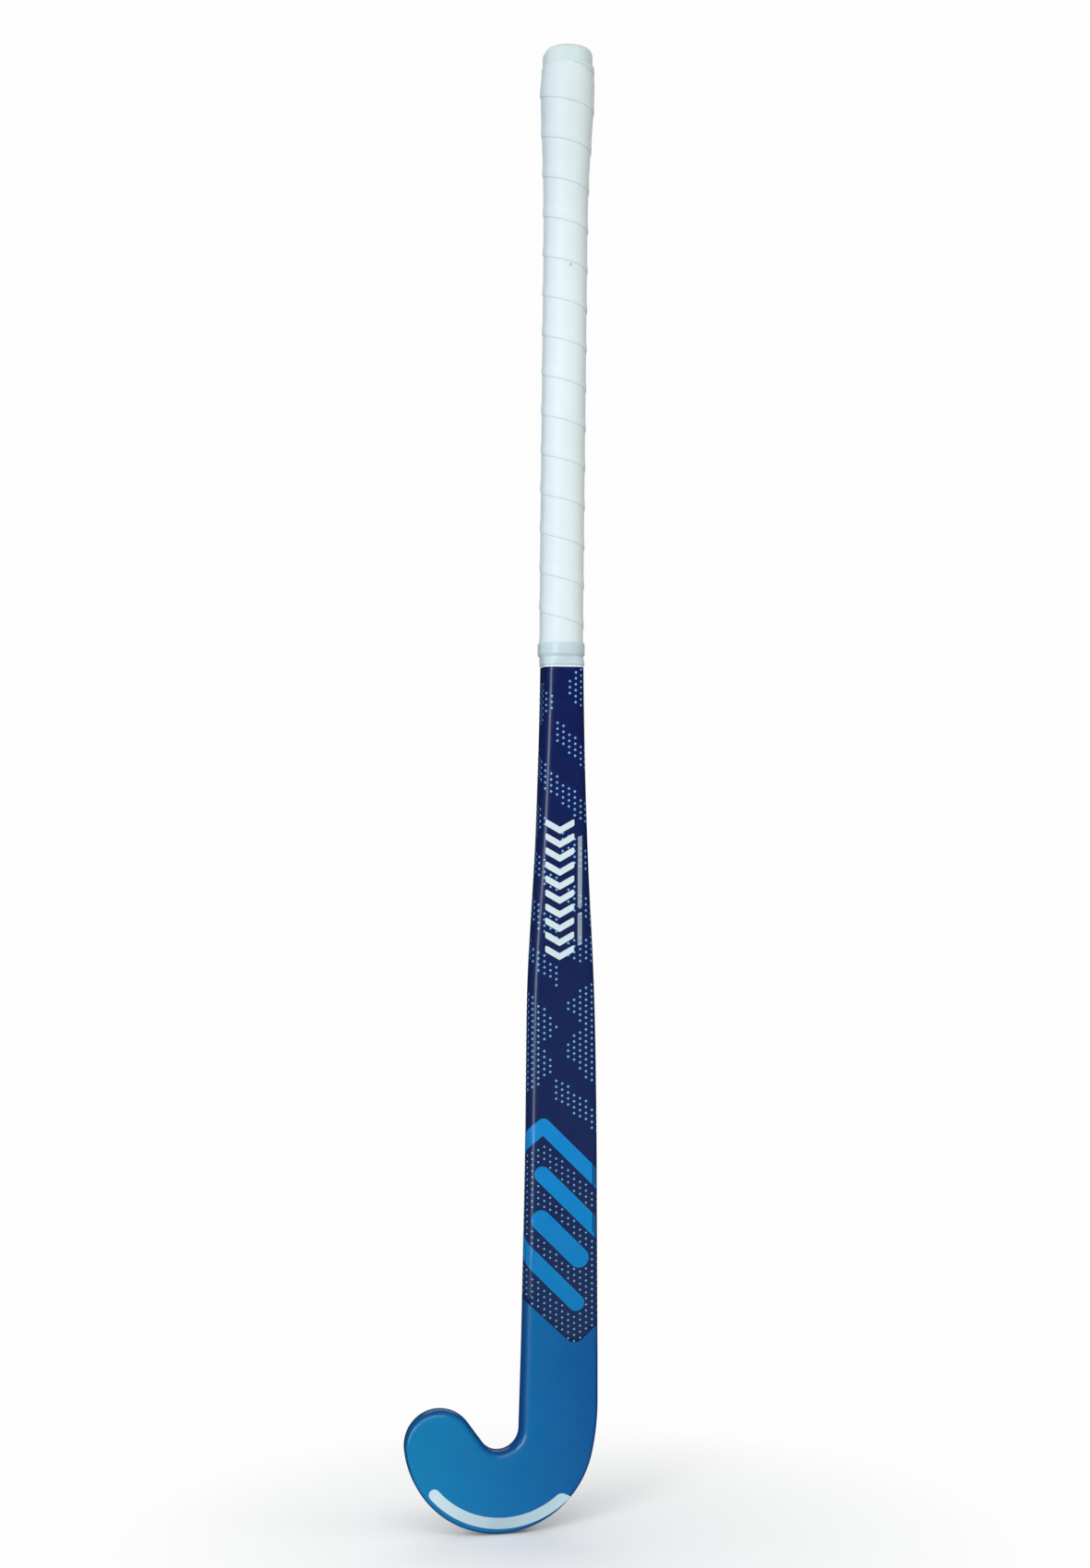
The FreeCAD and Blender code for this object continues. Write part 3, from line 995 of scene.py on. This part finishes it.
class Maker:
    """Small helper that adds and links the nodes of one material."""

    def __init__(self, name):
        self.material = bpy.data.materials.new(name)
        self.material.use_nodes = True
        self.nodes = self.material.node_tree.nodes
        self.links = self.material.node_tree.links
        self.shader = self.nodes["Principled BSDF"]
        self.texture = self.nodes.new("ShaderNodeTexCoord")
        self.coords = self.texture.outputs["Object"]

    def link(self, source, target):
        """Joins an output to an input."""
        self.links.new(source, target)

    def noise(self, scale, detail=2.0, stretch=(1, 1, 1)):
        """Fractal noise on the object's own coordinates."""
        mapping = self.nodes.new("ShaderNodeMapping")
        mapping.inputs["Scale"].default_value = stretch
        self.link(self.coords, mapping.inputs["Vector"])
        node = self.nodes.new("ShaderNodeTexNoise")
        node.inputs["Scale"].default_value = scale
        node.inputs["Detail"].default_value = detail
        self.link(mapping.outputs["Vector"], node.inputs["Vector"])
        return node.outputs["Fac"]

    def ramp(self, fac, stops):
        """Colour that runs through (position, colour) stops."""
        node = self.nodes.new("ShaderNodeValToRGB")
        self.link(fac, node.inputs["Fac"])
        elements = node.color_ramp.elements
        while len(elements) < len(stops):
            elements.new(0.5)
        for element, (position, colour) in zip(elements, stops):
            element.position = position
            element.color = colour
        return node.outputs["Color"]

    def span(self, value, low, high, new_low=0.0, new_high=1.0):
        """Carries one span of a value over to another."""
        node = self.nodes.new("ShaderNodeMapRange")
        self.link(value, node.inputs["Value"])
        node.inputs["From Min"].default_value = low
        node.inputs["From Max"].default_value = high
        node.inputs["To Min"].default_value = new_low
        node.inputs["To Max"].default_value = new_high
        return node.outputs["Result"]

    def axis(self, name):
        """One of the object's own coordinates."""
        node = self.nodes.new("ShaderNodeSeparateXYZ")
        self.link(self.coords, node.inputs["Vector"])
        return node.outputs[name]

    def painted_rim_shade_mask(self):
        """0 where the surface faces the front or the back, 1 round the rims: where the painted shade goes.
        """
        parts = self.nodes.new("ShaderNodeSeparateXYZ")
        self.link(self.texture.outputs["Normal"], parts.inputs["Vector"])
        size = self.nodes.new("ShaderNodeMath")
        size.operation = "ABSOLUTE"
        self.link(parts.outputs["Y"], size.inputs[0])
        return self.span(size.outputs["Value"], 0.96, 0.62)

    def mix(self, fac, first, second, kind="MULTIPLY"):
        """Blend of two colours, each a socket or a plain value."""
        node = self.nodes.new("ShaderNodeMix")
        node.data_type = "RGBA"
        node.blend_type = kind
        sockets = (node.inputs[0], node.inputs[6], node.inputs[7])
        for value, socket in zip((fac, first, second), sockets):
            if isinstance(value, bpy.types.NodeSocket):
                self.link(value, socket)
            else:
                socket.default_value = value
        return node.outputs[2]

    def bump(self, height, strength, distance):
        """Fine relief on the shader."""
        node = self.nodes.new("ShaderNodeBump")
        node.inputs["Strength"].default_value = strength
        node.inputs["Distance"].default_value = distance
        self.link(height, node.inputs["Height"])
        self.link(node.outputs["Normal"], self.shader.inputs["Normal"])

    def finish(self, colour, roughness, **sockets):
        """Sets the shader and gives the material back. Socket names are written with underscores."""
        self.link(colour, self.shader.inputs["Base Color"])
        if isinstance(roughness, bpy.types.NodeSocket):
            self.link(roughness, self.shader.inputs["Roughness"])
        else:
            self.shader.inputs["Roughness"].default_value = roughness
        for name, value in sockets.items():
            label = name.replace("_", " ").title().replace("Ior", "IOR")
            self.shader.inputs[label].default_value = value
        return self.material


# Factors on a paint's colour: plain, painted shade round the rims (soft and deep), and between its duller
# and brighter specks
PLAIN = (1, 1, 1, 1)
SOFT_RIM_PAINTED_SHADE = (0.80, 0.85, 0.90, 1)
DARK_RIM_PAINTED_SHADE = (0.26, 0.42, 0.60, 1)
DULLER = (0.95, 0.96, 0.97, 1)
BRIGHTER = (1.04, 1.03, 1.02, 1)


def lacquered(name, stops, axis, low, high, painted_rim_shade=SOFT_RIM_PAINTED_SHADE):
    """Clear-coated paint whose colour runs along one axis, with painted shade that darkens it round the
    rims.
    """
    m = Maker(name)
    base = m.ramp(m.span(m.axis(axis), low, high), stops)
    flake = m.ramp(m.noise(1400, 3.0), [(0.35, DULLER), (0.65, BRIGHTER)])
    cloud = m.ramp(m.noise(22, 2.0), [(0.3, DULLER), (0.7, BRIGHTER)])
    # painted shade: the colour darkens where the surface turns away round the rims
    rim = m.ramp(m.painted_rim_shade_mask(), [(0.0, PLAIN), (1.0, painted_rim_shade)])
    colour = m.mix(1.0, m.mix(1.0, base, flake), cloud)
    colour = m.mix(1.0, colour, rim)
    m.bump(m.noise(900, 2.0), 0.10, 0.00005)
    rough = m.span(m.noise(90, 3.0), 0.3, 0.7, 0.30, 0.42)
    return m.finish(colour, rough, coat_weight=0.4, coat_roughness=0.16, specular_ior_level=0.3)


def body_paint():
    """Sea blue of the hook: greener and lighter at the toe, deeper at the heel, partly the print's own
    gradient and partly painted light from the left; its rims take the deep painted shade.
    """
    stops = [
        (0.0, srgb(2, 122, 172)),
        (0.45, srgb(1, 108, 164)),
        (0.75, srgb(1, 96, 156)),
        (1.0, srgb(1, 82, 144)),
    ]
    # deep painted shade round the hook's rims
    return lacquered("sea_blue_lacquer", stops, "X", -0.095, 0.024, DARK_RIM_PAINTED_SHADE)


def navy_paint():
    """Dark blue of the shaft, a little greyer towards the hook."""
    stops = [(0.0, srgb(30, 46, 84)), (0.4, srgb(20, 36, 84)), (1.0, srgb(6, 24, 84))]
    return lacquered("navy_lacquer", stops, "Z", BOTTOM + 0.11, BOTTOM + 0.54)


def bar_paint():
    """Bright blue of the emblem's bars, lighter towards the top."""
    stops = [(0.0, srgb(0, 118, 178)), (1.0, srgb(2, 134, 204))]
    return lacquered("bright_blue_lacquer", stops, "Z", BOTTOM + 0.13, BOTTOM + 0.26)


def dot_paint():
    """Light blue of the halftone, a little greyer towards the hook."""
    stops = [(0.0, srgb(104, 160, 198)), (0.5, srgb(120, 174, 222)), (1.0, srgb(126, 180, 228))]
    return lacquered("light_blue_lacquer", stops, "Z", BOTTOM + 0.11, BOTTOM + 0.54)


def pale_paint():
    """Near white of the chevrons and ticks."""
    stops = [(0.0, srgb(214, 226, 229)), (1.0, srgb(219, 230, 232))]
    return lacquered("pale_lacquer", stops, "Z", BOTTOM + 0.35, BOTTOM + 0.45)


def label_film():
    """Pale film of the label, deeper in its middle."""
    stops = [(0.0, srgb(199, 218, 225)), (0.45, srgb(172, 192, 200)), (1.0, srgb(186, 212, 221))]
    return lacquered("label_film", stops, "X", -0.08, 0.01)


def tape_rubber():
    """Smooth white polyurethane with a fine matt grain, and painted light: cooler on its left side, warmer
    on its right.
    """
    m = Maker("white_polyurethane")
    stops = [(0.0, srgb(227, 233, 231)), (0.6, srgb(224, 231, 229)), (1.0, srgb(212, 220, 219))]
    base = m.ramp(m.span(m.axis("Z"), BOTTOM + 0.55, BOTTOM + 0.92), stops)
    # painted light: a cool tint on the left side where the cool soft box lights it, a warmer one on the
    # right
    painted_side_light_tints = [(0.0, (0.97, 1.0, 1.03, 1)), (1.0, (1.0, 1.0, 0.97, 1))]
    across = m.ramp(m.span(m.axis("X"), -0.016, 0.016), painted_side_light_tints)
    cloud = m.ramp(m.noise(60, 3.0), [(0.3, (0.965, 0.97, 0.975, 1)), (0.7, PLAIN)])
    colour = m.mix(1.0, m.mix(1.0, base, across), cloud)
    m.bump(m.noise(2600, 4.0), 0.18, 0.0001)
    rough = m.span(m.noise(140, 2.0), 0.3, 0.7, 0.42, 0.56)
    return m.finish(colour, rough, specular_ior_level=0.4)


def band_vinyl():
    """Pale vinyl tape with faint stretch lines round the shaft."""
    m = Maker("pale_vinyl")
    lines = m.noise(50, 3.0, (1, 1, 40))
    colour = m.ramp(lines, [(0.3, srgb(192, 208, 212)), (0.7, srgb(204, 219, 222))])
    m.bump(lines, 0.12, 0.0001)
    return m.finish(colour, m.span(lines, 0.3, 0.7, 0.34, 0.46), coat_weight=0.15, coat_roughness=0.3)


def line_paint():
    """White of the thin line below the band."""
    m = Maker("white_line")
    colour = m.ramp(m.noise(300, 2.0), [(0.3, srgb(232, 240, 244)), (0.7, srgb(246, 250, 252))])
    return m.finish(colour, 0.3, coat_weight=0.4)


def cap_rubber():
    """Slightly greyer moulded end cap with a fine spark-eroded texture."""
    m = Maker("grey_white_cap")
    colour = m.ramp(m.noise(120, 3.0), [(0.3, srgb(199, 211, 209)), (0.7, srgb(209, 220, 217))])
    m.bump(m.noise(3200, 3.0), 0.25, 0.0001)
    return m.finish(colour, 0.55, specular_ior_level=0.35)


def woven(name, dark, light, cell, roughness):
    """Woven cloth from two crossing waves."""
    m = Maker(name)
    bands = []
    for direction in ("X", "Z"):
        node = m.nodes.new("ShaderNodeTexWave")
        node.bands_direction = direction
        node.inputs["Scale"].default_value = cell
        node.inputs["Distortion"].default_value = 0.4
        m.link(m.coords, node.inputs["Vector"])
        bands.append(node.outputs["Fac"])
    both = m.mix(1.0, bands[0], bands[1], "DIFFERENCE")
    colour = m.ramp(both, [(0.2, dark), (0.8, light)])
    m.bump(both, 0.4, 0.0002)
    return m.finish(colour, roughness, coat_weight=0.3)


def core_foam():
    """Closed-cell foam."""
    m = Maker("core_foam")
    cells = m.nodes.new("ShaderNodeTexVoronoi")
    cells.inputs["Scale"].default_value = 900
    m.link(m.coords, cells.inputs["Vector"])
    colour = m.ramp(cells.outputs["Distance"], [(0.0, srgb(214, 200, 160)), (0.8, srgb(238, 228, 196))])
    m.bump(cells.outputs["Distance"], 0.5, 0.0003)
    return m.finish(colour, 0.85)


def plug_plastic():
    """Dark moulded plastic."""
    m = Maker("plug_plastic")
    colour = m.ramp(m.noise(90, 3.0), [(0.3, srgb(34, 36, 40)), (0.7, srgb(46, 48, 53))])
    m.bump(m.noise(2400, 3.0), 0.2, 0.0001)
    return m.finish(colour, 0.5)


def dress_inner_pieces():
    """Finishes the hidden CAD pieces."""
    carbon = woven("carbon_weave", srgb(14, 15, 17), srgb(44, 46, 50), 120, 0.4)
    aramid = woven("aramid_weave", srgb(150, 120, 40), srgb(206, 176, 84), 150, 0.6)
    chosen = {
        "toe_side_tube": carbon,
        "heel_side_tube": carbon,
        "impact_wrap": aramid,
        "hook_core": core_foam(),
        "butt_plug": plug_plastic(),
    }
    for name, material in chosen.items():
        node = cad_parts[name]
        node.data.materials.clear()
        node.data.materials.append(material)


# ---------------------------------------------------------------- stage


def fade_out(m, near, far):
    """Lets a material go clear between two distances from the object's middle."""
    distance = m.nodes.new("ShaderNodeVectorMath")
    distance.operation = "LENGTH"
    m.link(m.coords, distance.inputs[0])
    clear = m.nodes.new("ShaderNodeBsdfTransparent")
    blend = m.nodes.new("ShaderNodeMixShader")
    m.link(m.span(distance.outputs["Value"], near, far), blend.inputs["Fac"])
    m.link(m.shader.outputs["BSDF"], blend.inputs[1])
    m.link(clear.outputs["BSDF"], blend.inputs[2])
    m.link(blend.outputs["Shader"], m.nodes["Material Output"].inputs["Surface"])


def pale_floor():
    """Matt near white that fades into the room."""
    m = Maker("pale_floor")
    m.shader.inputs["Base Color"].default_value = (0.98, 0.96, 0.94, 1)
    m.shader.inputs["Roughness"].default_value = 0.8
    m.shader.inputs["Specular IOR Level"].default_value = 0.1
    fade_out(m, *FLOOR_FADE)
    return m.material


def stage_floor():
    """Round floor under the hook."""
    bm = bmesh.new()
    bmesh.ops.create_circle(bm, cap_ends=True, segments=96, radius=FLOOR_RADIUS)
    mesh = bpy.data.meshes.new("floor")
    bm.to_mesh(mesh)
    bm.free()
    mesh.materials.append(pale_floor())
    floor = bpy.data.objects.new("floor", mesh)
    floor.location = (0, 0, BOTTOM - FLOOR_GAP)
    floor.visible_glossy = False
    bpy.context.scene.collection.objects.link(floor)


def white_room():
    """World that looks white, lights the stick softly and is dark in its gloss."""
    world = bpy.data.worlds.new("room")
    bpy.context.scene.world = world
    world.use_nodes = True
    nodes, links = world.node_tree.nodes, world.node_tree.links
    path = nodes.new("ShaderNodeLightPath")
    shown = nodes["Background"]
    shown.inputs["Color"].default_value = (0.90, 0.95, 1.0, 1)
    shown.inputs["Strength"].default_value = 0.5
    exceptions = [
        ("Is Glossy Ray", (0.02, 0.03, 0.04, 1)),
        ("Is Camera Ray", (0.985, 0.985, 0.985, 1)),
    ]
    for kind, colour in exceptions:
        other = nodes.new("ShaderNodeBackground")
        other.inputs["Color"].default_value = colour
        blend = nodes.new("ShaderNodeMixShader")
        links.new(path.outputs[kind], blend.inputs["Fac"])
        links.new(shown.outputs[0], blend.inputs[1])
        links.new(other.outputs["Background"], blend.inputs[2])
        shown = blend
    links.new(shown.outputs["Shader"], nodes["World Output"].inputs["Surface"])


def soft_box(name, place_at, target, width, height, watts, colour, mirrored):
    """Rectangular area light aimed at a point. Only a mirrored one shows in the gloss."""
    data = bpy.data.lights.new(name, "AREA")
    data.shape = "RECTANGLE"
    data.size = width
    data.size_y = height
    data.energy = watts
    data.color = colour
    lamp = bpy.data.objects.new(name, data)
    lamp.location = place_at
    lamp.visible_glossy = mirrored
    way = Vector(target) - Vector(place_at)
    lamp.rotation_euler = way.to_track_quat("-Z", "Y").to_euler()
    bpy.context.scene.collection.objects.link(lamp)


def lights():
    """Tall cool soft box on the left, a fill on the right, broad ones above and behind."""
    z = (CAD_BOX[0].z + CAD_BOX[1].z) / 2
    aim = (0, 0, z)
    soft_box("left_box", (-1.5, -1.7, z + 0.3), aim, 0.7, 1.8, 29, (0.88, 0.96, 1.0), True)
    soft_box("right_box", (2.0, -0.9, z + 0.4), aim, 0.8, 1.8, 10, (1.0, 1.0, 0.97), False)
    soft_box("high_fill", (-0.3, -1.9, z + 1.9), aim, 2.4, 1.2, 21, (1.0, 1.0, 1.0), True)
    soft_box("back_fill", (0.6, 2.4, z + 1.7), aim, 3.0, 1.6, 16, (1.0, 1.0, 1.0), True)


def camera():
    """The view of the reference: nearly level, a little from the toe side."""
    data = bpy.data.cameras.new("view")
    data.sensor_fit = "AUTO"
    data.sensor_width = CAMERA_SENSOR
    data.lens = CAMERA_LENS
    data.clip_start = CAMERA_CLIP
    item = bpy.data.objects.new("view", data)
    item.location = CAMERA_PLACE
    item.rotation_euler = (math.radians(90 + CAMERA_PITCH), 0, math.radians(-CAMERA_AZIMUTH))
    bpy.context.scene.collection.objects.link(item)
    bpy.context.scene.camera = item


def build():
    """Everything in the scene, in the order it is made."""
    camera()
    lights()
    white_room()
    stage_floor()
    bpy.context.scene.view_settings.view_transform = "Standard"
    skin(body_paint())
    print_sleeve(navy_paint())
    emblem(bar_paint())
    halftone(dot_paint())
    pale = pale_paint()
    pale_chevrons(pale)
    fine_hatching(pale)
    label(label_film())
    collar_line(line_paint())
    wound_tape(tape_rubber())
    band(band_vinyl())
    cap(cap_rubber())
    dress_inner_pieces()


build()
bpy.context.view_layer.update()
